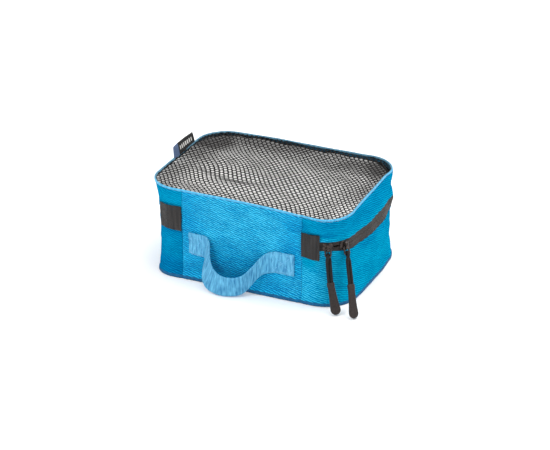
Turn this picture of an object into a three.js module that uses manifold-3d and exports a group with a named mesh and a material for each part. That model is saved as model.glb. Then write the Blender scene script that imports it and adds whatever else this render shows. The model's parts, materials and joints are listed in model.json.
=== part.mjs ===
// Soft packing cube: a zipped fabric box with a net lid, a webbing handle and two cord-pull sliders.
// Millimetres, +Z up. The origin is the centre of the underside. The handle is on the -Y face,
// the zipper pulls are at the +X end and the side label is at the -X end.

import * as THREE from 'three';
import { mergeVertices } from 'three/addons/utils/BufferGeometryUtils.js';
import Module from 'manifold-3d';

const wasm = await Module();
wasm.setup();

// Driving dimensions of the bag
const LENGTH = 187;
const WIDTH = 134;
const HEIGHT = 84;
const CORNER = 28;
const GAP = 0.3;
const FABRIC = 1.4;
const FLOOR_PANEL = 1.5;
const NET = 1.2;
const NET_DROP = 0.6;
const LINING = 0.8;

// Seam ridges round the rim and the foot: outer and inner edge, counted outwards from the wall face
const RIM = { outer: -0.4, inner: -3.2, height: 2.6 };
const FOOT = { outer: 2.2, inner: GAP, height: 3.2 };

// Seams between the front panel and the side band, on both sides of the middle, and their inner tapes
const SEAM_X = 56;
const BINDING_WIDTH = 6;
const BINDING = 0.8;

// Zipper: tape and coil halves, and the slot between them that the slider posts run in
const ZIP_Z = 56;
const ZIP_SLOT = 1;
const TAPE_WIDTH = 8.6;
const TAPE = 1;
const TAPE_INSET = 0.2;
const TAPE_START = SEAM_X + 1.5;
const COIL_WIDTH = 1.9;
const COIL = 1.2;
const COIL_START = SEAM_X + 6;

// End patches that cover both zipper ends: how far each turns round its corner, in degrees
const PATCH = 0.9;
const PATCH_REACH = 11;
const PATCH_TURN = { left: 25, right: 14 };

// Handle webbing, sewn to the front face by two square pads
const WEB_WIDTH = 20;
const WEB = 1.4;
const WEB_Z = 34;
const WEB_REACH = 19.5;
const WEB_FLOOR_GAP = 0.5;
const PADS = { left: [-48.6, -34], right: [28.4, 49.6] };
const STITCH_HALF = 5.5;
const STITCH_LINE = 0.8;
const STITCH = 0.4;

// Folded label standing on the rim of the -X end
const LABEL = { length: 40, height: 9.5, thickness: 1, middle: 11, lean: 10 };

// Sliders: where each stands on the front right corner, in degrees round its arc
const SLIDERS = {
  front: { angle: -62, lean: 10, gripTop: [36, 1.7, 26.5], gripEnd: [45.8, 6.4, 1.1] },
  rear: { angle: -32, lean: 24, gripTop: [44, -3.9, 26.5], gripEnd: [56.3, -8.9, 1.1] },
};
const SLIDER_LENGTH = 9;
const SLIDER_NOSE = 8;
const SLIDER_TAIL = 6.4;
const PLATE = 1.1;
const OUTER_PLATE_X = CORNER + 0.35;
const INNER_PLATE_X = 23.2;
const POST = { near: 2.6, far: 4.2, height: 0.5 };
const BAIL = { width: 2.2, height: 5.6, hole: 3.2, reach: 3.2, bar: 1.1 };

// Pull ring, doubled cord and moulded grip
const RING_RADIUS = 3;
const RING_WIRE = 0.55;
const RING_STRETCH = 1.2;
const EYE_X = OUTER_PLATE_X + PLATE + 1.05;
const EYE_Z = ZIP_Z - 0.7;
const CORD = 0.9;
const CORD_SPREAD = 1.05;
const GRIP = { topWidth: 7.4, endWidth: 9.6, thickness: 4, bevel: 0.8 };

// ---------------------------------------------------------------- helpers

function material(colour, roughness, metalness) {
  return new THREE.MeshStandardMaterial({ color: colour, roughness, metalness });
}

const blueFabric = () => material(0x1ea2d6, 0.75, 0);
const darkTape = () => material(0x3c3b3a, 0.85, 0);
const lightWebbing = () => material(0x62b0dc, 0.8, 0);
const darkNet = () => material(0x2b2a2a, 0.8, 0);
const whiteTissue = () => material(0xe8e8e6, 0.9, 0);
const darkMetal = () => material(0x3a3836, 0.35, 0.9);
const darkCord = () => material(0x2f3033, 0.8, 0);
const darkRubber = () => material(0x3a3535, 0.6, 0);
const labelCloth = () => material(0x1c1d22, 0.7, 0);

function add(parent, name, geometry, finish) {
  const mesh = new THREE.Mesh(geometry, finish);
  mesh.name = name;
  parent.add(mesh);
  return mesh;
}

function toSolid(geometry) {
  const bare = geometry.clone();
  bare.deleteAttribute('normal');
  bare.deleteAttribute('uv');
  const merged = mergeVertices(bare, 1e-4);
  return new wasm.Manifold(new wasm.Mesh({
    numProp: 3,
    vertProperties: new Float32Array(merged.attributes.position.array),
    triVerts: new Uint32Array(merged.index.array),
  }));
}

function union(geometries) {
  const joined = geometries.map(toSolid).reduce((sum, next) => sum.add(next));
  const { vertProperties, triVerts } = joined.getMesh();
  const geometry = new THREE.BufferGeometry();
  geometry.setAttribute('position', new THREE.BufferAttribute(vertProperties, 3));
  geometry.setIndex(new THREE.BufferAttribute(triVerts, 1));
  geometry.computeVertexNormals();
  return geometry;
}

function box(low, high) {
  const size = high.map((value, axis) => value - low[axis]);
  const centre = high.map((value, axis) => (value + low[axis]) / 2);
  return new THREE.BoxGeometry(...size).translate(...centre);
}

// Raises a plan outline from z = low to z = high
function raise(shape, low, high) {
  return new THREE.ExtrudeGeometry(shape, { depth: high - low, bevelEnabled: false }).translate(0, 0, low);
}

// Turns a shape drawn in X and Z into a plate that reaches from y = near towards -Y
function plateFacingFront(shape, near, thickness) {
  return new THREE.ExtrudeGeometry(shape, { depth: thickness, bevelEnabled: false })
    .rotateX(Math.PI / 2)
    .translate(0, near, 0);
}

// ---------------------------------------------------------------- the outline of the bag

const SIDE_X = LENGTH / 2 - CORNER;
const SIDE_Y = WIDTH / 2 - CORNER;
const QUARTER = CORNER * Math.PI / 2;
const ARC_STEPS = 9;

// Stretches met when walking round the plan from the middle of the front face, towards +X
const WALK = [
  { length: SIDE_X, from: [0, -WIDTH / 2], heading: 0 },
  { length: QUARTER, centre: [SIDE_X, -SIDE_Y], angle: -Math.PI / 2 },
  { length: 2 * SIDE_Y, from: [LENGTH / 2, -SIDE_Y], heading: Math.PI / 2 },
  { length: QUARTER, centre: [SIDE_X, SIDE_Y], angle: 0 },
  { length: 2 * SIDE_X, from: [SIDE_X, WIDTH / 2], heading: Math.PI },
  { length: QUARTER, centre: [-SIDE_X, SIDE_Y], angle: Math.PI / 2 },
  { length: 2 * SIDE_Y, from: [-LENGTH / 2, SIDE_Y], heading: -Math.PI / 2 },
  { length: QUARTER, centre: [-SIDE_X, -SIDE_Y], angle: Math.PI },
  { length: SIDE_X, from: [-SIDE_X, -WIDTH / 2], heading: 0 },
];
const ROUND = WALK.reduce((sum, stretch) => sum + stretch.length, 0);

// The point at a walked distance, moved outwards by offset
function outlinePoint(distance, offset) {
  let left = (distance + ROUND) % ROUND;
  let index = 0;
  while (index < WALK.length - 1 && left > WALK[index].length) {
    left -= WALK[index].length;
    index += 1;
  }
  const { centre, angle, from, heading } = WALK[index];
  if (centre) {
    const turned = angle + left / CORNER;
    return new THREE.Vector2(Math.cos(turned), Math.sin(turned))
      .multiplyScalar(CORNER + offset)
      .add(new THREE.Vector2(...centre));
  }
  const along = new THREE.Vector2(Math.cos(heading), Math.sin(heading));
  return new THREE.Vector2(...from)
    .addScaledVector(along, left)
    .addScaledVector(new THREE.Vector2(along.y, -along.x), offset);
}

// Walked distances from start to end, with every corner cut into equal steps
function stations(start, end) {
  const cuts = [start, end];
  for (const lap of [-ROUND, 0]) {
    let begin = lap;
    for (const stretch of WALK) {
      const steps = stretch.centre ? ARC_STEPS : 1;
      for (let step = 0; step < steps; step += 1) cuts.push(begin + stretch.length * step / steps);
      begin += stretch.length;
    }
  }
  const inside = cuts.filter((cut) => cut >= start && cut <= end).sort((a, b) => a - b);
  return inside.filter((cut, index) => index === 0 || cut - inside[index - 1] > 0.01);
}

// A strip of wall that follows the outline between two walked distances
function wall(start, end, outer, inner, low, high) {
  const cuts = stations(start, end);
  const outside = cuts.map((cut) => outlinePoint(cut, outer));
  const inside = cuts.map((cut) => outlinePoint(cut, inner)).reverse();
  return raise(new THREE.Shape([...outside, ...inside]), low, high);
}

function closedOutline(offset) {
  return stations(0, ROUND - 0.1).slice(0, -1).map((cut) => outlinePoint(cut, offset));
}

// A closed band all round the outline
function band(outer, inner, low, high) {
  const shape = new THREE.Shape(closedOutline(outer));
  shape.holes.push(new THREE.Path(closedOutline(inner)));
  return raise(shape, low, high);
}

// ---------------------------------------------------------------- base and lid

const RIGHT_SEAM = SEAM_X;
const LEFT_SEAM = ROUND - SEAM_X;
const patchTurn = (side) => SIDE_X + CORNER * THREE.MathUtils.degToRad(PATCH_TURN[side]);

// Half of the bag: side is -1 below the zipper and 1 above it, and wallEnd is the far edge of its walls.
// Each half has a front panel, a side band, and its half of the zipper, end patches and seam bindings.
function half(name, side, wallEnd) {
  const group = new THREE.Group();
  const zipTo = (near, far) => [ZIP_Z + side * near, ZIP_Z + side * far].sort((a, b) => a - b);
  const panel = [ZIP_Z + side * GAP / 2, wallEnd].sort((a, b) => a - b);
  const sideBand = [ZIP_Z + side * (TAPE_WIDTH / 2 + GAP), wallEnd].sort((a, b) => a - b);
  const seamGap = GAP / 2;

  add(group, `${name}_front_panel`,
    wall(-SEAM_X + seamGap, SEAM_X - seamGap, 0, -FABRIC, ...panel), blueFabric());
  add(group, `${name}_side_band`,
    wall(RIGHT_SEAM + seamGap, LEFT_SEAM - seamGap, 0, -FABRIC, ...sideBand), blueFabric());

  const tapeBack = -TAPE_INSET - TAPE;
  add(group, `${name}_zip_tape`,
    wall(TAPE_START, ROUND - TAPE_START, -TAPE_INSET, tapeBack, ...zipTo(ZIP_SLOT / 2, TAPE_WIDTH / 2)),
    darkTape());
  const coilFace = tapeBack - GAP;
  add(group, `${name}_zip_coil`,
    wall(COIL_START, ROUND - COIL_START, coilFace, coilFace - COIL,
      ...zipTo(ZIP_SLOT / 2, ZIP_SLOT / 2 + COIL_WIDTH)),
    darkTape());

  const patches = {
    left: [ROUND - patchTurn('left'), LEFT_SEAM - seamGap],
    right: [RIGHT_SEAM + seamGap, patchTurn('right')],
  };
  for (const [place, span] of Object.entries(patches)) {
    add(group, `${name}_patch_${place}`,
      wall(...span, GAP + PATCH, GAP, ...zipTo(GAP / 2, PATCH_REACH)), darkTape());
  }

  const bindingFace = -FABRIC - GAP;
  for (const [place, seam] of Object.entries({ left: LEFT_SEAM, right: RIGHT_SEAM })) {
    add(group, `${name}_seam_binding_${place}`,
      wall(seam - BINDING_WIDTH / 2, seam + BINDING_WIDTH / 2, bindingFace, bindingFace - BINDING, ...panel),
      blueFabric());
  }
  return group;
}

function base() {
  const group = half('base', -1, FLOOR_PANEL + GAP);
  add(group, 'bottom_panel', raise(new THREE.Shape(closedOutline(0)), 0, FLOOR_PANEL), blueFabric());
  add(group, 'bottom_seam_binding', band(FOOT.outer, FOOT.inner, 0, FOOT.height), blueFabric());
  return group;
}

function lid() {
  const rimLow = HEIGHT - RIM.height;
  const group = half('lid', 1, rimLow - GAP);
  add(group, 'top_seam_binding', band(RIM.outer, RIM.inner, rimLow, HEIGHT), blueFabric());
  const netOutline = closedOutline(RIM.inner - GAP);
  const netTop = HEIGHT - NET_DROP;
  const liningTop = netTop - NET - GAP;
  add(group, 'mesh_panel', raise(new THREE.Shape(netOutline), netTop - NET, netTop), darkNet());
  add(group, 'net_lining', raise(new THREE.Shape(netOutline), liningTop - LINING, liningTop), whiteTissue());
  const label = add(group, 'side_label',
    new THREE.BoxGeometry(LABEL.thickness, LABEL.length, LABEL.height).translate(0, 0, LABEL.height / 2),
    labelCloth());
  label.rotation.y = -THREE.MathUtils.degToRad(LABEL.lean);
  label.position.set(-LENGTH / 2 - (RIM.outer + RIM.inner) / 2, LABEL.middle, HEIGHT + 2 * GAP);
  return group;
}

// ---------------------------------------------------------------- handle

const FRONT_Y = -WIDTH / 2;

// A square of stitching with a cross in it, drawn round the pad's middle
function boxStitch(x, z) {
  const outer = STITCH_HALF + STITCH_LINE;
  const corners = [[-1, -1], [1, -1], [1, 1], [-1, 1]];
  const shape = new THREE.Shape(corners.map(([i, k]) => new THREE.Vector2(x + i * outer, z + k * outer)));
  const thread = STITCH_LINE * Math.SQRT1_2;
  for (let turn = 0; turn < 4; turn += 1) {
    const triangle = [[thread - STITCH_HALF, STITCH_HALF], [STITCH_HALF - thread, STITCH_HALF], [0, thread]];
    const points = triangle.map(([i, k]) => new THREE.Vector2(i, k)
      .rotateAround(new THREE.Vector2(), turn * Math.PI / 2)
      .add(new THREE.Vector2(x, z)));
    shape.holes.push(new THREE.Path(points));
  }
  return shape;
}

function handleEnds() {
  const group = new THREE.Group();
  const padFace = FRONT_Y - GAP - WEB;
  for (const [place, [left, right]] of Object.entries(PADS)) {
    add(group, `handle_end_${place}`,
      box([left, padFace, WEB_Z - WEB_WIDTH / 2], [right, FRONT_Y - GAP, WEB_Z + WEB_WIDTH / 2]),
      lightWebbing());
    add(group, `handle_stitch_${place}`,
      plateFacingFront(boxStitch((left + right) / 2, WEB_Z), padFace - GAP, STITCH), lightWebbing());
  }
  return group;
}

// The free webbing between the pads: half an ellipse in plan that sinks to the floor where it is furthest out
function handleLoop() {
  const left = PADS.left[1] + GAP;
  const right = PADS.right[0] - GAP;
  const middle = (left + right) / 2;
  const halfSpan = (right - left) / 2;
  const root = FRONT_Y - GAP;
  const arc = (inset) => new THREE.EllipseCurve(middle, root, halfSpan - inset, WEB_REACH - inset,
    Math.PI, 2 * Math.PI).getPoints(28);
  const geometry = raise(new THREE.Shape([...arc(0), ...arc(WEB).reverse()]),
    WEB_Z - WEB_WIDTH / 2, WEB_Z + WEB_WIDTH / 2);
  const deepest = WEB_Z - WEB_WIDTH / 2 - WEB_FLOOR_GAP;
  const position = geometry.attributes.position;
  for (let index = 0; index < position.count; index += 1) {
    const angle = Math.atan2((root - position.getY(index)) / WEB_REACH, (position.getX(index) - middle) / halfSpan);
    position.setZ(index, position.getZ(index) - deepest * Math.sin(angle));
  }
  return geometry;
}

// ---------------------------------------------------------------- sliders and pulls

// Sliders are drawn where X points out of the wall from the corner's axis, Y runs along the zipper
// towards the +Y side, and nose is 1 or -1 for the end that the closing post is at.
function sliderPlate(low, nose) {
  const halfLength = SLIDER_LENGTH / 2;
  const shape = new THREE.Shape();
  shape.moveTo(-halfLength, -SLIDER_TAIL / 2);
  shape.lineTo(halfLength * 0.4, -SLIDER_NOSE / 2);
  shape.quadraticCurveTo(halfLength, -SLIDER_NOSE / 2, halfLength, 0);
  shape.quadraticCurveTo(halfLength, SLIDER_NOSE / 2, halfLength * 0.4, SLIDER_NOSE / 2);
  shape.lineTo(-halfLength, SLIDER_TAIL / 2);
  shape.closePath();
  return new THREE.ExtrudeGeometry(shape, { depth: PLATE, bevelEnabled: false, curveSegments: 5 })
    .rotateZ(nose > 0 ? 0 : Math.PI)
    .applyMatrix4(new THREE.Matrix4().makeBasis(
      new THREE.Vector3(0, 1, 0), new THREE.Vector3(0, 0, 1), new THREE.Vector3(1, 0, 0)))
    .translate(low, 0, ZIP_Z);
}

// The arch that holds the ring: a bar standing off the outer plate on two legs
function bail() {
  const { width, height, hole, reach, bar } = BAIL;
  const root = OUTER_PLATE_X + PLATE;
  const leg = (height - hole) / 2;
  const overlap = 0.2;
  const legs = [-1, 1].map((side) => {
    const middle = ZIP_Z + side * (hole + leg) / 2;
    return box([root - overlap, -width / 2, middle - leg / 2], [root + reach, width / 2, middle + leg / 2]);
  });
  const crossBar = box([root + reach - bar, -width / 2, ZIP_Z - height / 2],
    [root + reach, width / 2, ZIP_Z + height / 2]);
  return [...legs, crossBar];
}

function sliderBody(nose) {
  const { near, far, height } = POST;
  const [start, end] = nose > 0 ? [near, far] : [-far, -near];
  const post = box([INNER_PLATE_X + PLATE / 2, start, ZIP_Z - height / 2],
    [OUTER_PLATE_X + PLATE / 2, end, ZIP_Z + height / 2]);
  return union([sliderPlate(INNER_PLATE_X, nose), sliderPlate(OUTER_PLATE_X, nose), post, ...bail()]);
}

// An oval ring that hangs from the eye of the bail, leaning out by the given angle
function pullRing(parent, name, lean) {
  const geometry = new THREE.TorusGeometry(RING_RADIUS, RING_WIRE, 8, 24)
    .rotateY(Math.PI / 2)
    .scale(1, 1, RING_STRETCH)
    .translate(0, 0, -RING_RADIUS * RING_STRETCH);
  const ring = add(parent, name, geometry, darkMetal());
  ring.position.set(EYE_X, 0, EYE_Z);
  ring.rotation.y = -lean;
}

// The doubled cord: one strand up from the grip, over the ring's lower wire and back down beside itself
function pullCord(ringFoot, gripTop) {
  const down = gripTop.clone().sub(ringFoot).normalize();
  const aside = new THREE.Vector3(0, 1, 0).addScaledVector(down, -down.y).normalize();
  const out = new THREE.Vector3().crossVectors(aside, down).normalize();
  const at = (from, drop, outwards, sideways) => from.clone()
    .addScaledVector(down, drop)
    .addScaledVector(out, outwards)
    .addScaledVector(aside, sideways);
  const turn = RING_WIRE * RING_STRETCH + GAP + CORD;
  const strand = (side) => [
    at(gripTop, -GAP, 0, side * CORD_SPREAD),
    at(ringFoot, 11, side * 0.7, side * CORD_SPREAD),
    at(ringFoot, 4, side * turn * 0.9, side * 0.5),
    at(ringFoot, 0.5, side * turn, 0),
  ];
  const path = new THREE.CatmullRomCurve3([
    ...strand(1), at(ringFoot, -turn, 0, 0), ...strand(-1).reverse()], false, 'centripetal');
  const section = new THREE.Shape().absarc(0, 0, CORD, 0, 2 * Math.PI);
  return new THREE.ExtrudeGeometry(section, { steps: 30, curveSegments: 4, extrudePath: path });
}

// The moulded grip: a flat finger that widens towards its rounded end
function pullGrip(parent, name, gripTop, gripEnd) {
  const { topWidth, endWidth, thickness, bevel } = GRIP;
  const length = gripEnd.distanceTo(gripTop) - bevel;
  const top = topWidth / 2 - bevel;
  const end = endWidth / 2 - bevel;
  const shape = new THREE.Shape();
  shape.moveTo(-top, 1.5);
  shape.quadraticCurveTo(-top, bevel, 1 - top, bevel);
  shape.lineTo(top - 1, bevel);
  shape.quadraticCurveTo(top, bevel, top, 1.5);
  shape.lineTo(end, length - end);
  shape.absarc(0, length - end, end, 0, Math.PI, false);
  shape.closePath();
  const geometry = new THREE.ExtrudeGeometry(shape, {
    depth: thickness - 2 * bevel, bevelSize: bevel, bevelThickness: bevel, bevelSegments: 2, curveSegments: 10,
  }).translate(0, 0, bevel - thickness / 2);
  const grip = add(parent, name, geometry, darkRubber());
  const down = gripEnd.clone().sub(gripTop).normalize();
  const aside = new THREE.Vector3(0, 1, 0).addScaledVector(down, -down.y).normalize();
  const face = new THREE.Vector3().crossVectors(aside, down);
  grip.quaternion.setFromRotationMatrix(new THREE.Matrix4().makeBasis(aside, down, face));
  grip.position.copy(gripTop);
}

function slider(name, nose) {
  const { angle, lean, gripTop, gripEnd } = SLIDERS[name];
  const group = new THREE.Group();
  group.position.set(SIDE_X, -SIDE_Y, 0);
  group.rotation.z = THREE.MathUtils.degToRad(angle);
  add(group, `slider_body_${name}`, sliderBody(nose), darkMetal());

  const swing = THREE.MathUtils.degToRad(lean);
  pullRing(group, `pull_ring_${name}`, swing);
  const ringLength = 2 * RING_RADIUS * RING_STRETCH;
  const ringFoot = new THREE.Vector3(EYE_X + ringLength * Math.sin(swing), 0, EYE_Z - ringLength * Math.cos(swing));
  const top = new THREE.Vector3(...gripTop);
  const end = new THREE.Vector3(...gripEnd);
  add(group, `pull_cord_${name}`, pullCord(ringFoot, top), darkCord());
  pullGrip(group, `pull_grip_${name}`, top, end);
  return group;
}

// ---------------------------------------------------------------- the whole object

const object = new THREE.Group();
object.add(base(), lid(), handleEnds());
add(object, 'handle_loop', handleLoop(), lightWebbing());
object.add(slider('front', 1), slider('rear', -1));

export default object;
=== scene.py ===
"""Looks of the soft packing cube.

It has crinkled cloth walls, a net lid over white lining, a zipper, a webbing handle and two cord pulls.
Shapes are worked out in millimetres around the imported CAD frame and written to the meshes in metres.
Walk distance s runs round the plan from the middle of the front face towards +X; z is the height.
"""

import json
import math

import bpy
import numpy as np
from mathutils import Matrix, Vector


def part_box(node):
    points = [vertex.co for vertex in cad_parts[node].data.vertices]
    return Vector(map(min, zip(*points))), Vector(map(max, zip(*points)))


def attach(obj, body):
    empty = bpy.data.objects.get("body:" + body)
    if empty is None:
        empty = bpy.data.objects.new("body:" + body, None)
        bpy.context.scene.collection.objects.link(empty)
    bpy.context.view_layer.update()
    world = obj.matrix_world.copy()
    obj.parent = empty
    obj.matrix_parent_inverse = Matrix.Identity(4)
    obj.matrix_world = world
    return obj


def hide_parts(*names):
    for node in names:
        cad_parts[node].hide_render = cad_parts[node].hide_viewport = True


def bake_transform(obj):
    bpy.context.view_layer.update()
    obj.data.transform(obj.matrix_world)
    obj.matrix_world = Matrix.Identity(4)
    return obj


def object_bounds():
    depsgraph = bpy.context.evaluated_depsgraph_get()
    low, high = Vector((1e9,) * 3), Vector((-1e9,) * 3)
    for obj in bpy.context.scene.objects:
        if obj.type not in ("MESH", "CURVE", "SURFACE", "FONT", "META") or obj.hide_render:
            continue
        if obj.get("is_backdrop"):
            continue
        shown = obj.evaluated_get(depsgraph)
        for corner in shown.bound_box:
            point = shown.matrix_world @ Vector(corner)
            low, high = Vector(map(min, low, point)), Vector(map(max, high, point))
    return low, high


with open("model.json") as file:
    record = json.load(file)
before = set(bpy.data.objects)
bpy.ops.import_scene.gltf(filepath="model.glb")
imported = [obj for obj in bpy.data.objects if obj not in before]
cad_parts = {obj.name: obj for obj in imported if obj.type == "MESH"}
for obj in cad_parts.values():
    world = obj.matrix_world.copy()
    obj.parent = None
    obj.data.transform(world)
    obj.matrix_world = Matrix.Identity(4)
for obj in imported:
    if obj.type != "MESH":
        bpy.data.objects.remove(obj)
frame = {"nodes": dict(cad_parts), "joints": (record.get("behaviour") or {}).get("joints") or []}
cad_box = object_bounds()

MM = 0.001
JOINTS = {joint["name"]: joint for joint in frame["joints"]}


# ---------------------------------------------------------------- facts read from the frame

def span(node):
    """Lowest and highest corner of a CAD node, in millimetres."""
    low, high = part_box(node)
    return np.array(low) / MM, np.array(high) / MM


def joint_point(name):
    return np.array(JOINTS[name]["pos_m"]) / MM


GAP = 0.3
HALF_LENGTH, HALF_WIDTH = span("bottom_panel")[1][:2]
HEIGHT = span("top_seam_binding")[1][2]
CORNER_X, CORNER_Y, ZIP_Z = np.abs(joint_point("slider_front_run"))
CORNER = HALF_LENGTH - CORNER_X
SEAM_X = span("base_front_panel")[1][0] + GAP / 2
BASE_TOP = span("base_side_band")[1][2]
LID_LOW = span("lid_side_band")[0][2]
TAPE_LOW, TAPE_HIGH = span("base_zip_tape")[0][2], span("lid_zip_tape")[1][2]
PATCH_LOW, PATCH_HIGH = span("base_patch_right")[0][2], span("lid_patch_right")[1][2]
RIM_LOW = span("top_seam_binding")[0][2]
FOOT_HIGH = span("bottom_seam_binding")[1][2]
CLOTH = 0.6


# ---------------------------------------------------------------- the outline of the bag

QUARTER = CORNER * math.pi / 2
KNOTS = np.cumsum([0, CORNER_X, QUARTER, 2 * CORNER_Y, QUARTER, 2 * CORNER_X, QUARTER, 2 * CORNER_Y, QUARTER,
                   CORNER_X])
CORE_X = CORNER_X * np.array([0, 1, 1, 1, 1, -1, -1, -1, -1, 0])
CORE_Y = CORNER_Y * np.array([-1, -1, -1, 1, 1, 1, 1, -1, -1, -1])
HEADING = math.pi / 2 * np.array([0, 0, 1, 1, 2, 2, 3, 3, 4, 4])
ROUND = KNOTS[-1]
LEFT_SEAM = ROUND - SEAM_X


def outline(s):
    """Point of the plan outline at each walk distance, and the direction out of the wall."""
    s = np.mod(s, ROUND)
    heading = np.interp(s, KNOTS, HEADING)
    out = np.stack([np.sin(heading), -np.cos(heading)], -1)
    core = np.stack([np.interp(s, KNOTS, CORE_X), np.interp(s, KNOTS, CORE_Y)], -1)
    return core + CORNER * out, out


def walk_to_angle(degrees):
    """Walk distance at which the wall of a corner faces this plan angle, from -90 at the front towards +X."""
    return float(np.interp(math.radians(degrees + 90), HEADING + 1e-9 * np.arange(len(HEADING)), KNOTS))


def smooth(t):
    t = np.clip(t, 0, 1)
    return t * t * (3 - 2 * t)


def hill(x, middle, width):
    return np.exp(-(((x - middle) / width) ** 2))


def unit(vectors):
    """The vectors, each at length one."""
    return vectors / np.linalg.norm(vectors, axis=-1, keepdims=True)


def apart(s, middle):
    """Signed walk distance from middle, the short way round."""
    return np.mod(s - middle + ROUND / 2, ROUND) - ROUND / 2


def noise(u, v, seed, wrap=64):
    """Smooth noise from -1 to 1 with a new value at each whole u and v. It repeats after wrap cells of u."""
    table = np.random.RandomState(seed).uniform(-1, 1, (64, 64))
    u, v = np.broadcast_arrays(u, v)
    i, j = np.floor(u).astype(int), np.floor(v).astype(int)
    a, b = smooth(u - i), smooth(v - j)
    at = lambda p, q: table[np.mod(p, wrap) % 64, np.mod(q, 64)]
    low = at(i, j) * (1 - a) + at(i + 1, j) * a
    high = at(i, j + 1) * (1 - a) + at(i + 1, j + 1) * a
    return low * (1 - b) + high * b


def round_noise(s, z, size, seed, squash=1.0):
    """Noise on the wall, cells of about this many millimetres, joined up round the bag."""
    cells = max(4, min(64, round(ROUND / size)))
    return noise(s / ROUND * cells, z / (size * squash), seed, cells)


# ---------------------------------------------------------------- the soft shape of the walls

LEFT_CORNER = walk_to_angle(200)
SLIDER_STRETCH = (SEAM_X - 2, walk_to_angle(-8))
PROFILE_Z = np.array([0, 3, 7, 14, 24, 34, 44, 50, 56, 62, 70, 78, 82, 84])
PROFILE = np.array([2.2, 2.2, 1.4, 0.4, 0.2, 0.1, 0.1, 0.0, 0.0, 0.0, 0.1, 0.0, -0.4, -0.6])
BACK_Z = np.array([0, 8, 14, 20, 30, 42, 46, 51, 57, 63, 68, 73, 79, 84])
BACK_CORNER = np.array([-0.5, -0.2, 0.1, -0.5, -0.6, -1.9, -1.3, 0.4, 2.0, 0.9, -0.4, -0.1, 1.0, 1.9])
END_Z = np.array([0, 8, 20, 34, 44, 51, 56, 61, 70, 78, 84])
END_BULGE = np.array([2.0, 2.2, 4.0, 5.4, 5.8, 5.2, 4.2, 3.0, 1.5, 0.4, 0.0])
LEFT_Z = np.array([0, 6, 16, 26, 36, 44, 50, 60, 70, 78, 81, 84])
LEFT_WAIST = np.array([-8.0, -8.6, -9.2, -9.2, -8.4, -10.0, -8.4, -7.6, -6.6, -3.8, -1.4, 0.9])

# Single folds and dents: walk distance, height, how far it stands out, half its width along the walk and up
# the wall, and how far it falls per millimetre of walk
FOLDS = [
    (-23, 33, -1.7, 9, 10, 0),
    (-36, 28, 0.7, 6, 12, 0),
    (47, 72.5, 0.9, 9, 1.8, 0.53),
    (47, 69, -0.8, 9, 2, 0.53),
    (55.5, 75, -0.9, 4.5, 4, 0),
    (72, 65.5, -0.8, 9, 2.6, 0),
]
PUCKER_PITCH = 8.3


def swell(s, z):
    """How far the cloth stands out of the CAD wall's face: slack, creases, and the pinch at the zipper."""
    s, z = np.broadcast_arrays(np.asarray(s, float), np.asarray(z, float))
    back = smooth((apart(s, KNOTS[3]) + 8) / 16) * smooth((KNOTS[5] - 20 - s) / 70)
    right = smooth((s - SLIDER_STRETCH[1]) / 34) * smooth((KNOTS[3] + 10 - s) / 38)
    left = hill(apart(s, LEFT_CORNER), 0, 15.5)
    left_end = 0.72 * smooth((66 - np.abs(apart(s, (KNOTS[6] + KNOTS[7]) / 2))) / 34)
    depth = np.interp(z, PROFILE_Z, PROFILE)
    depth = depth + back * np.interp(z, BACK_Z, BACK_CORNER) + right * np.interp(z, END_Z, END_BULGE)
    depth = depth + np.maximum(left, left_end) * np.interp(z, LEFT_Z, LEFT_WAIST)
    # The zipper, the rim and the foot hold the cloth, so its slack is less near them
    near_sliders = smooth((s - SLIDER_STRETCH[0]) / 6) * smooth((SLIDER_STRETCH[1] - s) / 8)
    calm_zip = 1 - (0.55 + 0.45 * near_sliders) * hill(z, ZIP_Z, 9)
    calm_rim = 1 - 0.6 * smooth((z - 76) / 7)
    calm_foot = 1 - 0.6 * smooth((6 - z) / 6)
    slack = 0.8 * round_noise(s, z, 34, 3, 0.7) + 0.5 * round_noise(s + 0.5 * z, z, 15, 5, 0.8)
    crease = 1 - np.abs(round_noise(s - 0.9 * z, z + 0.25 * s, 22, 8, 0.7))
    slack = slack + 0.6 * crease ** 6 - 0.1
    depth = depth + slack * calm_zip * calm_rim * calm_foot
    # Rolls along the foot of the front panel, single folds, and the folds left of it and at the right corner
    front = smooth((SEAM_X + 20 - np.abs(apart(s, 0))) / 30)
    depth = depth + front * (0.8 * hill(z, 19 + 0.03 * apart(s, 0), 6) - 0.9 * hill(z, 9, 5))
    for place, level, height, along, up, fall in FOLDS:
        depth = depth + height * hill(apart(s, place), 0, along) * hill(z + fall * apart(s, place), level, up)
    strip_fold = smooth((apart(s, LEFT_SEAM) + 34) / 20) * smooth((2 - apart(s, LEFT_SEAM)) / 4)
    depth = depth + strip_fold * (0.8 * hill(z, 31 - 0.15 * apart(s, LEFT_SEAM), 4) - 0.7 * hill(z, 19, 5))
    corner = hill(apart(s, walk_to_angle(-50)), 0, 24)
    depth = depth + corner * (0.7 * hill(z, 71 + 0.06 * apart(s, SEAM_X), 2.6) - 0.5 * hill(z, 76, 2.4))
    # Puckers along the zipper's seams, and the sunk seams at both sides of the front panel
    pucker = np.sin(2 * math.pi * s / PUCKER_PITCH + 2.2 * round_noise(s, z, 20, 11))
    from_zip = np.minimum(np.abs(z - TAPE_LOW), np.abs(z - TAPE_HIGH)) * ((z > TAPE_HIGH) | (z < TAPE_LOW))
    beside_zip = smooth((s - SEAM_X - 8) / 8) * smooth((LEFT_SEAM - 8 - s) / 8)
    fading = np.exp(-from_zip / 5) * (from_zip > 0)
    depth = depth + 0.22 * pucker * beside_zip * fading * (1 - near_sliders * 0.8)
    seam = hill(np.minimum(np.abs(apart(s, SEAM_X)), np.abs(apart(s, LEFT_SEAM))), 0, 1.5)
    return depth - 0.55 * seam * (1 - hill(z, ZIP_Z, 12))


ZIP_CLIMB = 2.2


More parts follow.
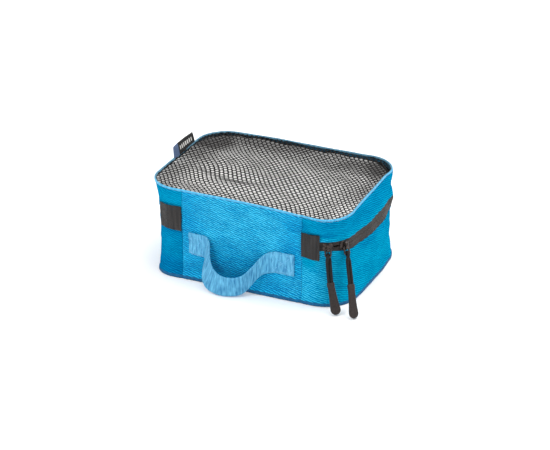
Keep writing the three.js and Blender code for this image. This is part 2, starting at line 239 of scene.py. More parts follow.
def lift(s, z):
    """The zipper line climbs a little from the right end round to the left one."""
    s = np.mod(s, ROUND)
    climb = smooth((s - SLIDER_STRETCH[1]) / (LEFT_SEAM - SLIDER_STRETCH[1]))
    climb = np.where(s > LEFT_SEAM, smooth((ROUND - s) / SEAM_X), climb)
    return ZIP_CLIMB * climb * np.clip(np.minimum(z / ZIP_Z, (HEIGHT - z) / (HEIGHT - ZIP_Z)), 0, 1)


def rim_level(x, y):
    """How far the rim stands over or under its nominal height: it sags at the front right corner."""
    back = 1.2 * hill(x, -34, 34) + 0.5 * hill(x, 90, 22) + 0.2
    return back * smooth((y + 20) / 80) - 3.2 * hill(np.hypot((x - 84) / 1.5, y + 62), 0, 34)


def wall(s, z, off):
    """Point of the bag's wall at walk distance s and height z, moved outwards by off."""
    s, z, off = np.broadcast_arrays(np.asarray(s, float), np.asarray(z, float), np.asarray(off, float))
    point, out = outline(s)
    point = point + out * (swell(s, z) + off)[..., None]
    level = z + lift(s, z) + rim_level(point[..., 0], point[..., 1]) * smooth((z - 61) / 20)
    return np.concatenate([point, level[..., None]], -1)


def painted_light_and_shade(s, z):
    """Light and shade painted onto the blue cloth, as a number that picks its lit or shaded colours.

    It is 0 in the lit middle of the front panel, -1 round it, 1 on the ends and back, 2 in the deepest
    painted shade.
    """
    s, z = np.broadcast_arrays(np.asarray(s, float), np.asarray(z, float))
    from_seam = np.abs(apart(s, 0)) - SEAM_X
    # Painted light: the lit middle of the front panel, a pool of light low on its right, and a painted crease
    # shadow
    middle = smooth((-from_seam - 6) / 24) * smooth((z - 24) / 34)
    middle = middle + 0.55 * hill(apart(s, 50), 0, 12) * smooth((27 - z) / 8)
    crease = hill(apart(s, 48), 0, 8) * hill(z + 0.53 * apart(s, 47), 69, 2.2)
    middle = middle - 0.9 * crease
    # Painted shade: darker round the sides, in a line above the zipper and near the top, on the left strip
    # and low on it,
    side = 0.42 + 0.58 * smooth((from_seam - 4) / 34) + 0.6 * hill(apart(s, 74), 0, 10) * hill(z, 65.5, 2)
    # and further painted shade under the tape, under the right patch and at the right seam's top
    side = side + (0.45 + 0.45 * smooth((36 - from_seam) / 16)) * smooth((z - 62) / 6)
    left = smooth((apart(s, LEFT_SEAM) + 80) / 40) * smooth(1 - apart(s, LEFT_SEAM) / 3)
    side = side + left * (1.3 - side + 0.25 * smooth((66 - z) / 8) + 0.5 * smooth((21 - z) / 8))
    side = side + 0.5 * smooth((s - SLIDER_STRETCH[1]) / 20) * hill(z, 46, 5)
    side = side + 0.7 * hill(apart(s, 62), 0, 9) * hill(z, 40, 8)
    side = side + 0.4 * hill(apart(s, 57), 0, 5) * hill(z, 74, 5)
    return np.where(from_seam < 0, np.maximum(0.95 * (middle - 1), -1.2), np.clip(side, 0, 2))


RIPPLE_PITCH = 2.0
RIPPLE_HEIGHT = 0.12


def ripple(s, z):
    """Fine broken ripples of the crinkled cloth, slightly slanting."""
    tilt = z + 0.3 * s
    phase = 2 * math.pi * tilt / RIPPLE_PITCH + 2.4 * noise(s / 7, z / 4.5, 21)
    strength = np.clip(0.5 + 0.75 * noise(s / 4.2, z / 2.4, 22), 0, 1)
    return RIPPLE_HEIGHT * np.sin(phase) * strength


# ---------------------------------------------------------------- mesh building

def inside_out(mesh):
    """Whether the faces of a closed mesh look inward."""
    mesh.calc_loop_triangles()
    places = np.empty(3 * len(mesh.vertices), np.float32)
    mesh.vertices.foreach_get("co", places)
    corners = np.empty(3 * len(mesh.loop_triangles), np.int32)
    mesh.loop_triangles.foreach_get("vertices", corners)
    first, second, third = np.moveaxis(places.reshape(-1, 3)[corners.reshape(-1, 3)], 1, 0)
    return np.sum(first * np.cross(second, third)) < 0


def make(name, points, faces, finishes, face_finish=None, cloth=None, sharp=50):
    """A mesh object from points in millimetres. cloth is each point's place on the fabric and painted shade.
    """
    mesh = bpy.data.meshes.new(name)
    places = (np.asarray(points, float).reshape(-1, 3) * MM).tolist()
    mesh.from_pydata(places, [], [list(map(int, face)) for face in faces])
    for finish in finishes:
        mesh.materials.append(finish)
    if face_finish is not None:
        mesh.polygons.foreach_set("material_index", np.asarray(face_finish, np.int32))
    if cloth is not None:
        fabric = mesh.attributes.new("cloth", "FLOAT_VECTOR", "POINT")
        fabric.data.foreach_set("vector", np.asarray(cloth, np.float32).ravel())
    if inside_out(mesh):
        mesh.flip_normals()
    mesh.shade_smooth()
    mesh.set_sharp_from_angle(angle=math.radians(sharp))
    mesh.update()
    obj = bpy.data.objects.new(name, mesh)
    bpy.context.scene.collection.objects.link(obj)
    return obj


def grid_faces(rows, columns, start=0, join_rows=False, join_columns=False, flip=False):
    """Quads over a grid of points stored row by row."""
    i = np.arange(rows if join_rows else rows - 1)[:, None]
    j = np.arange(columns if join_columns else columns - 1)[None]
    i2, j2 = (i + 1) % rows, (j + 1) % columns
    a, b, c, d = (start + p * columns + q + 0 * (i + j) for p, q in ((i, j), (i, j2), (i2, j2), (i2, j)))
    quads = np.stack([a, b, c, d], -1).reshape(-1, 4)
    return quads[:, ::-1] if flip else quads


def slab(name, outer, inner, cloth, finishes):
    """A closed sheet from two matching grids of points. The inner face takes the second finish, if any."""
    rows, columns = outer.shape[:2]
    count = rows * columns
    grid = np.arange(count).reshape(rows, columns)
    faces = [grid_faces(rows, columns), grid_faces(rows, columns, count, flip=True)]
    kinds = [0] * len(faces[0]) + [min(1, len(finishes) - 1)] * len(faces[1])
    for rim, turn in ((grid[:, 0], 1), (grid[:, -1], -1), (grid[0], -1), (grid[-1], 1)):
        side = np.stack([rim[:-1], rim[1:], rim[1:] + count, rim[:-1] + count], -1)
        faces.append(side[:, ::turn])
    faces = np.concatenate(faces)
    kinds += [0] * (len(faces) - len(kinds))
    points = np.concatenate([outer.reshape(-1, 3), inner.reshape(-1, 3)])
    return make(name, points, faces, finishes, kinds, np.concatenate([cloth.reshape(-1, 3)] * 2))


def along_walk(height):
    """A height as a function of the walk, whether it is one or a number."""
    return height if callable(height) else lambda s: height


def strip(name, start, end, low, high, off, thickness, finishes, step, shape=None):
    """A sheet that follows the wall. Its heights low and high are numbers or functions of the walk."""
    low, high = along_walk(low), along_walk(high)
    rows = max(3, int(round((end - start) / step[0])) + 1)
    columns = max(2, int(round(float(high(start) - low(start)) / step[1])) + 1)
    s = np.linspace(start, end, rows)[:, None]
    s, z = np.broadcast_arrays(s, low(s) + (high(s) - low(s)) * np.linspace(0, 1, columns)[None])
    extra = off + (shape(s, z) if shape else 0)
    cloth = np.stack([s, z, painted_light_and_shade(s, z)], -1)
    return slab(name, wall(s, z, extra), wall(s, z, extra - thickness), cloth, finishes)


def loft(rings, closed=False):
    """Points and faces of a skin over rings of points, with flat ends unless it closes on itself."""
    rows, columns = rings.shape[:2]
    faces = [tuple(face) for face in grid_faces(rows, columns, 0, closed, True)]
    if not closed:
        faces += [tuple(range(columns))[::-1], tuple((rows - 1) * columns + k for k in range(columns))]
    return rings.reshape(-1, 3), faces


def swept(path, section, first, second):
    """Rings of a section, the same or one per point, along a path. first and second are its axes."""
    section = np.broadcast_to(section, (len(path),) + np.shape(section)[-2:])
    return path[:, None] + section[..., :1] * first[:, None] + section[..., 1:] * second[:, None]


def length_along(path):
    """Distance walked along a path up to each of its points."""
    return np.append(0, np.cumsum(np.linalg.norm(np.diff(path, axis=0), axis=1)))


def tube(name, path, section, first, second, finishes, closed=False, inner_half=None):
    """A section swept along a path. inner_half is the range of its sides that take the second finish."""
    rings = swept(path, section, first, second)
    columns = rings.shape[1]
    points, faces = loft(rings, closed)
    turn = np.linspace(0, 1, columns, endpoint=False)
    cloth = np.stack(np.broadcast_arrays(length_along(path)[:, None], turn[None], 0.0), -1)
    kinds = None
    if inner_half:
        kinds = [int(inner_half[0] <= k % columns < inner_half[1]) for k in range(len(faces))]
    return make(name, points, faces, finishes, kinds, cloth=cloth)


def squarer(wave, power):
    """A sine or cosine bent towards a square wave by a power under 1."""
    return np.sign(wave) * np.abs(wave) ** power


def oval(first, second, count, power=1.0):
    """Section points of an oval. A power under 1 makes it squarer."""
    turn = np.linspace(0, 2 * math.pi, count, endpoint=False)
    return np.stack([first * squarer(np.cos(turn), power), second * squarer(np.sin(turn), power)], -1)


def belongs(piece, body, slot, *cad_nodes):
    """Fixes a visible piece to its body and hides the CAD nodes that it stands for. slot is not used."""
    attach(piece, body)
    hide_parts(*cad_nodes)


# ---------------------------------------------------------------- materials

# Where a ripple's colours lie in its height, trough in painted shade to lit ridge, and how far roughness
# varies
RIPPLE_STOPS = (0.26, 0.46, 0.74)
ROUGH_SPREAD = 0.12


class Finish:
    """A material, with short ways to add and link its shader's nodes."""

    def __init__(self, name):
        self.material = bpy.data.materials.new(name)
        self.material.use_nodes = True
        self.tree = self.material.node_tree
        self.shader = self.tree.nodes["Principled BSDF"]

    def put(self, made, **settings):
        """Sets inputs, to a value or another node's output, and properties of a node."""
        for key, value in settings.items():
            socket = key.replace("_", " ")
            if socket not in made.inputs:
                setattr(made, key, value)
            elif isinstance(value, bpy.types.NodeSocket):
                self.tree.links.new(value, made.inputs[socket])
            else:
                made.inputs[socket].default_value = value

    def add(self, kind, output, **settings):
        """One output of a new node."""
        made = self.tree.nodes.new("ShaderNode" + kind)
        self.put(made, **settings)
        return made.outputs[output]

    def maths(self, operation, *values):
        """The result of a sum on numbers and other nodes' outputs."""
        made = self.tree.nodes.new("ShaderNodeMath")
        made.operation = operation
        for socket, value in zip(made.inputs, values):
            if isinstance(value, bpy.types.NodeSocket):
                self.tree.links.new(value, socket)
            else:
                socket.default_value = value
        return made.outputs[0]

    def ramp(self, factor, stops):
        """A colour that changes with the factor, through stops of (place, colour)."""
        made = self.tree.nodes.new("ShaderNodeValToRGB")
        elements = made.color_ramp.elements
        while len(elements) < len(stops):
            elements.new(0.5)
        for element, (place, colour) in zip(elements, stops):
            element.position, element.color = place, colour
        self.tree.links.new(factor, made.inputs["Fac"])
        return made.outputs["Color"]

    def fabric(self):
        """Place on the flat cloth, in millimetres, with the painted light and shade as Z."""
        return self.add("Attribute", "Vector", attribute_name="cloth")

    def fabric_part(self, part):
        """X, Y or Z of the place on the flat cloth."""
        return self.add("SeparateXYZ", part, Vector=self.fabric())

    def fabric_scaled(self, across, along, turn=0.0):
        """Place on the flat cloth, scaled and then turned by degrees."""
        return self.add("Mapping", "Vector", Vector=self.fabric(), Scale=(across, along, 0),
                        Rotation=(0, 0, math.radians(turn)))

    def bumps(self, *heights):
        """Adds bumps, each (height output, strength, distance in metres), one after the other."""
        last = {}
        for height, strength, distance in heights:
            normal = self.add("Bump", "Normal", Strength=strength, Distance=distance, Height=height, **last)
            last = {"Normal": normal}
        self.put(self.shader, **last)


def linear(red, green, blue):
    """An sRGB colour of 0 to 255 as the linear colour that shaders take."""
    channels = [c / 255 for c in (red, green, blue)]
    return tuple(c / 12.92 if c <= 0.04045 else ((c + 0.055) / 1.055) ** 2.4 for c in channels) + (1.0,)


def crinkle_cloth(name, ripple_strength, shine):
    """Blue crinkled nylon: rows of fine broken ripples, painted lighter on their ridges, coloured by painted
    shade.
    """
    finish = Finish(name)
    rows = finish.add("TexWave", "Fac", Scale=0.172, Distortion=3.6, Detail=2.0, Detail_Scale=2.2,
                      bands_direction="Y", Vector=finish.fabric_scaled(1, 1, 14))
    breaks = finish.add("TexNoise", "Fac", Scale=1.0, Detail=1.5, Roughness=0.5,
                        Vector=finish.fabric_scaled(0.42, 0.9, -24))
    patches = finish.add("TexNoise", "Fac", Scale=0.055, Detail=3.0, Vector=finish.fabric_scaled(1, 1.4))
    height = finish.maths("MULTIPLY", rows, breaks)
    level = finish.maths("MULTIPLY_ADD", patches, 0.5, height)
    # The painted light and shade picks between the lit and shaded copies of the cloth's colours
    shade = finish.fabric_part("Z")
    front, *others = [finish.ramp(level, list(zip(RIPPLE_STOPS, blues)))
                      for blues in (LIT_FRONT_BLUES, SHADED_END_BLUES, DEEPEST_SHADE_BLUES, SHADED_FRONT_BLUES)]
    colour = front
    for other, (start, end) in zip(others, [(0, 1), (1, 2), (0, -1)]):
        share = finish.add("MapRange", "Result", From_Min=start, From_Max=end, Value=shade)
        colour = finish.add("Mix", "Result", data_type="RGBA", Factor=share, A=colour, B=other)
    rough = finish.add("MapRange", "Result", To_Min=0.42, To_Max=0.68, Value=rows)
    finish.put(finish.shader, Base_Color=colour, Roughness=rough, Specular_IOR_Level=shine,
               Specular_Tint=linear(90, 200, 255))
    weave = finish.add("TexVoronoi", "Distance", Scale=1.0, feature="F1",
                       Vector=finish.fabric_scaled(1.5, 2.2, 12))
    finish.bumps((height, ripple_strength, 0.0016), (weave, 0.25, 0.0002))
    return finish.material


def plain_cloth(name, light, dark, threads, roughness=0.75, sheen=0.2, dye_and_sheen_scale=(0.35, 0.35)):
    """A plain weave: threads both ways, (across, along) per millimetre, uneven dye and painted sheen streaks.
    """
    finish = Finish(name)
    waves = [finish.add("TexWave", "Fac", Scale=count / 2, Distortion=0.6, Detail=1.0, Detail_Scale=2.0,
                        Vector=finish.fabric_scaled(1, 1, turn)) for turn, count in zip((0, 90), threads)]
    dye_and_sheen = finish.add("TexNoise", "Fac", Scale=1.0, Detail=4.0, Vector=finish.fabric_scaled(*dye_and_sheen_scale))
    finish.put(finish.shader, Base_Color=finish.ramp(dye_and_sheen, [(0.3, dark), (0.7, light)]), Roughness=roughness,
               Sheen_Weight=sheen, Sheen_Roughness=0.5, Specular_IOR_Level=0.3)
    finish.bumps(*((wave, 0.35, 0.00025) for wave in waves))
    return finish.material


def grainy(name, light, dark, scale, roughness, metallic=0.0, bump=0.15, specular=0.5):
    """Moulded rubber, painted metal, nylon coil or net yarn: a fine grain in object space."""
    finish = Finish(name)
    grain = finish.add("TexNoise", "Fac", Scale=scale, Detail=5.0, Roughness=0.6,
                       Vector=finish.add("TexCoord", "Object"))
    rough = finish.add("MapRange", "Result", To_Min=roughness - ROUGH_SPREAD, To_Max=roughness + ROUGH_SPREAD,
                       Value=grain)
    finish.put(finish.shader, Base_Color=finish.ramp(grain, [(0.35, dark), (0.65, light)]), Roughness=rough,
               Metallic=metallic, Specular_IOR_Level=specular)
    finish.bumps((grain, bump, 0.0003))
    return finish.material


def tissue():
    """White paper-like lining, painted grey down to near black where its painted shade is lower."""
    finish = Finish("white_lining")
    fibres = finish.add("TexNoise", "Fac", Scale=0.3, Detail=5.0, Vector=finish.fabric())
    shade = finish.maths("MULTIPLY_ADD", fibres, 0.1, finish.fabric_part("Z"))
    # Ramp of painted shade: near black at the border, then grey, then white
    greys = [(0.0, linear(24, 24, 25)), (0.1, linear(96, 94, 93)), (1.0, linear(255, 254, 252))]
    finish.put(finish.shader, Base_Color=finish.ramp(shade, greys), Roughness=0.85, Specular_IOR_Level=0.2)
    finish.bumps((fibres, 0.3, 0.0005))
    return finish.material


# Trough, middle and ridge colours of the crinkled cloth: a lit copy and copies painted darker for shade
LIT_FRONT_BLUES = [linear(0, 114, 172), linear(4, 152, 200), linear(74, 202, 240)]
SHADED_FRONT_BLUES = [linear(0, 100, 163), linear(2, 139, 193), linear(36, 181, 228)]
SHADED_END_BLUES = [linear(0, 108, 152), linear(0, 134, 174), linear(6, 156, 193)]
DEEPEST_SHADE_BLUES = [linear(0, 80, 128), linear(0, 106, 156), linear(2, 124, 174)]
BLUE = crinkle_cloth("blue_crinkle_cloth", 0.85, 0.16)
BLUE_SIDE = crinkle_cloth("blue_side_cloth", 0.5, 0.0)
BLUE_BACK = plain_cloth("blue_coating", linear(40, 104, 132), linear(26, 84, 112), (1.6, 1.6), 0.6, 0.03)
# The rim's roll is the same blue cloth as the walls, painted lighter as a highlight along its top
LIT_BLUE_FOLD = plain_cloth("blue_folded_edge_painted_highlight", linear(96, 190, 228), linear(34, 140, 190), (1.8, 0.9))
RIM_INSIDE = plain_cloth("teal_inner_edge", linear(104, 150, 172), linear(62, 104, 128), (1.8, 0.9), 0.7,
                         0.03)
# The foot's roll is the same blue cloth as the walls, painted darker as shade near the floor
SHADED_BLUE_FOOT = plain_cloth("blue_foot_fold_painted_shade", linear(2, 98, 143), linear(0, 70, 113), (1.8, 0.9), 0.7, 0.03)
TAPE = plain_cloth("charcoal_tape", linear(40, 34, 32), linear(29, 25, 24), (2.6, 1.8), 0.62, 0.03)
# Its stretched streaks are painted sheen
PATCH = plain_cloth("charcoal_patch", linear(44, 40, 39), linear(6, 6, 7), (0.4, 2.2), 0.5, 0.03,
                    (0.42, 0.035))
COIL = grainy("black_coil", linear(34, 32, 31), linear(20, 19, 19), 900, 0.4)
NET = grainy("dark_net_yarn", linear(28, 27, 27), linear(8, 8, 9), 1400, 0.75, bump=0.5, specular=0.15)
TISSUE = tissue()
# Its streaks along the strap are partly the weave and partly painted sheen
WEBBING = plain_cloth("light_blue_webbing", linear(102, 186, 221), linear(14, 108, 160), (0.75, 2.4), 0.6,
                      0.08, (0.62, 0.1))
THREAD = plain_cloth("pale_blue_thread", linear(120, 190, 226), linear(84, 160, 206), (2.0, 2.0), 0.6, 0.1)
METAL = grainy("gunmetal", linear(74, 66, 63), linear(28, 24, 23), 500, 0.34, metallic=0.75, bump=0.08)
CORD = plain_cloth("charcoal_cord", linear(24, 22, 22), linear(8, 8, 8), (1.4, 1.4), 0.75, 0.0)
RUBBER = grainy("brown_black_rubber", linear(45, 36, 34), linear(27, 21, 20), 700, 0.5, bump=0.25,
                specular=0.3)


# ---------------------------------------------------------------- cloth walls

# How far the walls reach behind the ridges of the rim and the foot
UNDER_RIM = 0.6
UNDER_FOOT = 1.2


def cloth_walls():
    inside = SEAM_X - GAP / 2
    panel = strip("front_panel_cloth", -inside, inside, FOOT_HIGH - UNDER_FOOT, RIM_LOW + UNDER_RIM, 0, CLOTH,
                  [BLUE, BLUE_BACK], (0.8, 0.55), ripple)
    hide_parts("base_front_panel", "lid_front_panel")
    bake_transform(panel)

    faint = lambda s, z: 0.45 * ripple(s, z)
    start, end = SEAM_X + GAP / 2, LEFT_SEAM - GAP / 2
    tape_low = lambda s: BASE_TOP + 0.5 - 2.6 * tape_widening(s)
    tape_high = lambda s: LID_LOW - 0.4 + 0.3 * tape_widening(s)
    for name, low, high, body, tall in (
            ("base_band_cloth", FOOT_HIGH - UNDER_FOOT, tape_low, "base", BASE_TOP - FOOT_HIGH),
            ("lid_band_cloth", tape_high, RIM_LOW + UNDER_RIM, "lid", RIM_LOW - LID_LOW)):
        band = strip(name, start, end, low, high, 0, CLOTH, [BLUE_SIDE, BLUE_BACK], (1.3, 0.8), faint)
        belongs(band, body, "blue_fabric", f"{body}_side_band")


def tape_widening(s):
    """From 0 to 1, where the side cloth has drawn back from the zipper tape."""
    return smooth((s - walk_to_angle(-60)) / 26) * smooth((LEFT_SEAM - 20 - s) / 60)


def round_sheet(name, top, bottom, cloth, finishes, under=None):
    """A closed sheet inside the outline, from grids whose rows are loops from the edge to the middle."""
    rows, columns = top.shape[:2]
    count, last = rows * columns, (rows - 1) * columns
    loop = list(range(columns))
    faces = grid_faces(rows, columns, 0, False, True).tolist() + [[last + k for k in loop]]
    kinds = [0] * len(faces)
    faces += grid_faces(rows, columns, count, False, True, True).tolist()
    faces += [[count + last + k for k in loop[::-1]]]
    faces += [[k, count + k, count + (k + 1) % columns, (k + 1) % columns] for k in loop]
    kinds += [len(finishes) - 1] * (len(faces) - len(kinds))
    cloth = cloth.reshape(-1, 3)
    cloth = np.concatenate([cloth, cloth if under is None else under])
    points = np.concatenate([top.reshape(-1, 3), bottom.reshape(-1, 3)])
    return make(name, points, faces, finishes, kinds, cloth, 60)


def floor_cloth():
    """The bottom panel, slightly uneven where the load has pressed it."""
    rows, columns = 26, 180
    share = np.linspace(0.04, 1, rows)[::-1, None]
    s = np.linspace(0, ROUND, columns, endpoint=False)[None]
    edge = wall(s, 1.0, -0.6)
    points = edge * share[..., None]
    x, y = points[..., 0], points[..., 1]
    wave = 0.3 * noise(x / 26 + 20, y / 22 + 20, 31) * (1 - share ** 6)
    top = np.stack([x, y, 1.3 + 0.15 * (1 + wave)], -1)
    bottom = np.stack([x, y, 0.5 + 0.15 * (1 + wave)], -1)
    panel = round_sheet("bottom_cloth", top, bottom, np.stack([x, y, 0 * x + 1], -1), [BLUE_BACK, BLUE_SIDE])
    belongs(panel, "base", "blue_fabric", "bottom_panel")


def outward(s):
    """The level direction out of the wall at each walk distance."""
    out = outline(s)[1]
    return np.concatenate([out, 0 * out[:, :1]], -1)


def seam_ridge(name, middle, height, radii, finishes, body, cad_node, inner_half=None):
    """A sewn roll of folded cloth that runs all round, with the needle's pull marks along it."""
    s = np.linspace(0, ROUND, 460, endpoint=False)
    path = wall(s, height, middle)
    up = np.tile([0.0, 0.0, 1.0], (len(s), 1))
    pull = 1 - 0.1 * np.abs(np.sin(math.pi * s / 3.1)) + 0.06 * round_noise(s, 0 * s, 9, 41)
    section = oval(radii[0], radii[1], 14, 0.8)[None] * pull[:, None, None]
    ridge = tube(name, path, section, outward(s), up, finishes, True, inner_half)
    belongs(ridge, body, "blue_fabric", cad_node)


def seam_ridges():
    seam_ridge("rim_seam_ridge", -1.15, HEIGHT - 1.1, (1.0, 1.1), [LIT_BLUE_FOLD, RIM_INSIDE], "lid",
               "top_seam_binding", (3, 10))
    seam_ridge("foot_seam_ridge", -0.3, 1.7, (1.0, 1.6), [SHADED_BLUE_FOOT], "base", "bottom_seam_binding")


INNER_TAPE_HALF = 3


def seam_tapes():
    """Narrow tapes that cover the two upright seams on the inside."""
    for place, seam in (("left", LEFT_SEAM), ("right", SEAM_X)):
        tape = strip(f"inner_seam_tape_{place}", seam - INNER_TAPE_HALF, seam + INNER_TAPE_HALF, FOOT_HIGH,
                     RIM_LOW - 0.4, -CLOTH - GAP, 0.5, [BLUE_BACK], (0.75, 0.9))
        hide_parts(f"base_seam_binding_{place}", f"lid_seam_binding_{place}")
        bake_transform(tape)


# ---------------------------------------------------------------- zipper

OPENING = (walk_to_angle(-62) + 3.2, walk_to_angle(-32) - 3.2)


def zip_split(s):
    """Half the gap between the two tapes: nearly shut, and open between the two sliders."""
    middle, half = sum(OPENING) / 2, (OPENING[1] - OPENING[0]) / 2
    return 0.12 + 0.75 * np.clip(1 - (apart(s, middle) / half) ** 2, 0, 1)


def zip_tape(body, side):
    """One half of the zipper's tape, flat, with its edge tucked under the side cloth."""
    start = SEAM_X + 1.5
    rows, columns = 380, 9
    s = np.linspace(start, ROUND - start, rows)[:, None]
    t = np.linspace(0, 1, columns)[None]
    near = zip_split(s)
    far = TAPE_HIGH - ZIP_Z + 1.0 + (2.6 if side < 0 else 0.3) * tape_widening(s)
    z = ZIP_Z + side * (near + (far - near) * t)
    s, z, t = np.broadcast_arrays(s, z, t)
    sunk = -0.2 - 0.5 * smooth((t - 0.7) / 0.25) + 0.1 * hill(t, 0.12, 0.16)
    cloth = np.stack([s, z, 0 * s], -1)
    outer, inner = wall(s, z, sunk), wall(s, z, sunk - 0.55)
    if side < 0:
        outer, inner, cloth = outer[:, ::-1], inner[:, ::-1], cloth[:, ::-1]
    tape = slab(f"{body}_zip_tape_cloth", outer, inner, cloth, [TAPE])
    belongs(tape, body, "dark_tape", f"{body}_zip_tape")


def zip_coil(body, side):
    """The row of teeth on the inner face: a flattened nylon coil sewn to the tape's edge."""
    pitch, per_turn, wire = 1.5, 10, 0.3
    start = SEAM_X + 6
    turns = int((ROUND - 2 * start) / pitch)
    count = turns * per_turn
    turn = np.arange(count) / per_turn
    s = start + pitch * (turn + (0.5 if side > 0 else 0))
    angle = 2 * math.pi * turn
    wave = np.cos(angle)
    reach = 1.05 + 1.15 * wave
    z = ZIP_Z + side * (zip_split(s) + reach)
    depth = -1.95 + 0.55 * np.sin(angle)
    path = wall(s, z, depth)
    along = unit(np.gradient(path, axis=0))
    out = outward(s)
    first = unit(out - along * (out * along).sum(1)[:, None])
    coil = tube(f"{body}_zip_teeth", path, oval(wire, wire, 5), first, np.cross(along, first), [COIL])
    belongs(coil, body, "dark_coil", f"{body}_zip_coil")


def hill_along(middle, width, height):
    """A smooth ridge across the walk round the bag."""
    return lambda s: height * hill(s, middle, width)


def end_patches():
    """Grosgrain patches over both ends of the zipper, slightly cushioned, with turned edges."""
    turned = {"right": walk_to_angle(-76), "left": walk_to_angle(-115 + 360)}
    for place, cad_low in (("right", SEAM_X + GAP / 2), ("left", LEFT_SEAM - GAP / 2)):
        ends = sorted([cad_low, turned[place]])
        sag = 1.5 if place == "right" else 0.5
        groove = hill_along(ends[0] + 4.2, 1.5, 0.5 if place == "right" else 0.2)
        share = lambda s, ends=ends: (s - ends[0]) / (ends[1] - ends[0])
        low = lambda s, share=share, sag=sag: PATCH_LOW - 0.5 - sag * smooth(share(s))

        def thick(s, z, ends=ends, share=share, groove=groove):
            turned_edge = 0.3 * smooth((1.6 - np.minimum(s - ends[0], ends[1] - s)) / 0.6)
            uneven = 0.22 * noise((s - ends[0]) / 3.3 + 0.04 * z + 7, z / 30 + 5, 17)
            return turned_edge + uneven + 0.9 * np.sin(math.pi * np.clip(share(s), 0, 1)) - groove(s)

        patch = strip(f"patch_{place}", *ends, low, PATCH_HIGH + 0.4, 1.1, 0.7, [PATCH], (0.5, 0.7), thick)
        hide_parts(f"base_patch_{place}", f"lid_patch_{place}")
        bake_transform(patch)


# ---------------------------------------------------------------- net and lining

def from_edge(x, y, share):
    """From 0 at the lid's edge to 1 from this share of the way to its middle."""
    return smooth((1 - np.maximum(np.abs(x) / HALF_LENGTH, np.abs(y) / HALF_WIDTH)) / share)


def dip(x, y):
    """How far the net hangs under the rim: a shallow hollow with soft folds from corner to corner."""
    inside = from_edge(x, y, 0.35)
    hollow = 1.5 * inside
    crease_y = -24 + 20 * (np.minimum(x + 17, 0) / 63) ** 2
    crease = 1.1 * hill(y, crease_y + 2, 6) * smooth((x + 84) / 20) * smooth((18 - x) / 30)
    mound = 1.9 * hill(x, -24, 36) * hill(y, crease_y - 13, 13)
    broad = 0.9 * noise(x / 30 + 10, y / 24 + 10, 51)
    narrow = 0.4 * noise(x / 13 + 0.6 * y / 13 + 20, y / 17 + 20, 52)
    return hollow - (broad + narrow + mound - crease) * inside


def net_level(x, y):
    return HEIGHT - 1.0 + rim_level(x, y) - dip(x, y)


def inset_point(points, off):
    """Moves points that lie outside the outline at this offset back onto it."""
    x, y = points[..., 0], points[..., 1]
    core = np.stack([np.clip(x, -CORNER_X, CORNER_X), np.clip(y, -CORNER_Y, CORNER_Y)], -1)
    away = points - core
    reach = np.linalg.norm(away, axis=-1)
    limit = CORNER + off
    scale = np.where(reach > limit, limit / np.maximum(reach, 1e-6), 1.0)
    return core + away * scale[..., None], reach - limit


NET_FAR = 4.63
NET_NEAR = 3.78
NET_ANGLES = (math.radians(-53), math.radians(62))
NET_WALE = 0.16
NET_LINK = 0.08
NET_HEIGHT = 0.36
NET_INSET = 2.0
NET_LAST_CENTRE = 2.6


def net_bend(places):
    """The net's lattice, bent sideways by its slack. Its edge stays in place."""
    x, y = places[..., 0], places[..., 1]
    slack = [3.4 * noise(x / 46 + 10, y / 40 + 10, 63), 2.8 * noise(x / 44 + 30, y / 38 + 10, 64)]
    return places + np.stack(slack, -1) * from_edge(x, y, 0.3)[..., None]


def net():
    """The lid's net: a lattice of slanting holes, each ringed by its share of the rounded strands.

    Thick strands run along the steep direction and thin links join them.
    """
    steep = NET_FAR * np.array([math.cos(NET_ANGLES[0]), math.sin(NET_ANGLES[0])])
    cross = NET_NEAR * np.array([math.cos(NET_ANGLES[1]), math.sin(NET_ANGLES[1])])
    around = [steep, steep + cross, cross, -steep, -steep - cross, -cross]
    around.sort(key=lambda v: math.atan2(v[1], v[0]))
    corners = [(around[k] + around[(k + 1) % 6]) / 3 for k in range(6)]
    ring = []
    for k in range(6):
        ring += [corners[k - 1], (corners[k - 1] + corners[k]) / 2]
    lattice = np.array(ring) @ np.linalg.inv([steep, cross])
    reach = 60
    index = np.array([(i, j) for i in range(-reach, reach) for j in range(-reach, reach)])
    centres = index @ np.array([steep, cross])
    centres = centres[inset_point(centres, -NET_LAST_CENTRE)[1] < 0]
    outer = centres[:, None] + (lattice @ [steep, cross])[None]
    squarer = np.sign(lattice) * np.minimum(np.abs(lattice) * 1.25, 0.5)
    inner = (0.35 * lattice + 0.65 * squarer) * [1 - 2 * NET_LINK, 1 - 2 * NET_WALE]
    hole = centres[:, None] + (inner @ [steep, cross])[None]
    uneven = noise(hole[..., 0] * 1.3 + 90, hole[..., 1] * 1.3 + 90, 61)
    hole += 0.1 * uneven[..., None] * (inner @ [steep, cross])
    outer, hole = (inset_point(net_bend(places), -NET_INSET)[0] for places in (outer, hole))
    place = lambda p, rise: np.concatenate([p, (net_level(p[..., 0], p[..., 1]) + rise)[..., None]], -1)
    shoulder = outer + 0.55 * (hole - outer)
    rings = np.stack([place(outer, NET_HEIGHT), place(shoulder, 0.8 * NET_HEIGHT), place(hole, 0.0),
                      place(shoulder, -0.8 * NET_HEIGHT), place(outer, -NET_HEIGHT)], 1)
    cells, rows, columns = rings.shape[:3]
    quads = grid_faces(rows, columns, 0, False, True)
    faces = (np.arange(cells)[:, None, None] * rows * columns + quads[None]).reshape(-1, 4)
    points = rings.reshape(-1, 3)
    key = np.round(points / 0.02).astype(np.int64)
    _, first, back = np.unique(key, axis=0, return_index=True, return_inverse=True)
    faces = back.reshape(-1)[faces]
    distinct = np.array([len(set(f)) == 4 for f in faces.tolist()])
    mesh_net = make("net", points[first], faces[distinct], [NET], sharp=180)
    belongs(mesh_net, "lid", "dark_net", "mesh_panel")


LINING_DROP = 3.6
# Painted shade of the lining's underside and of its border by the walls
UNDERSIDE_SHADE = 0.55
BORDER_SHADE = -0.1


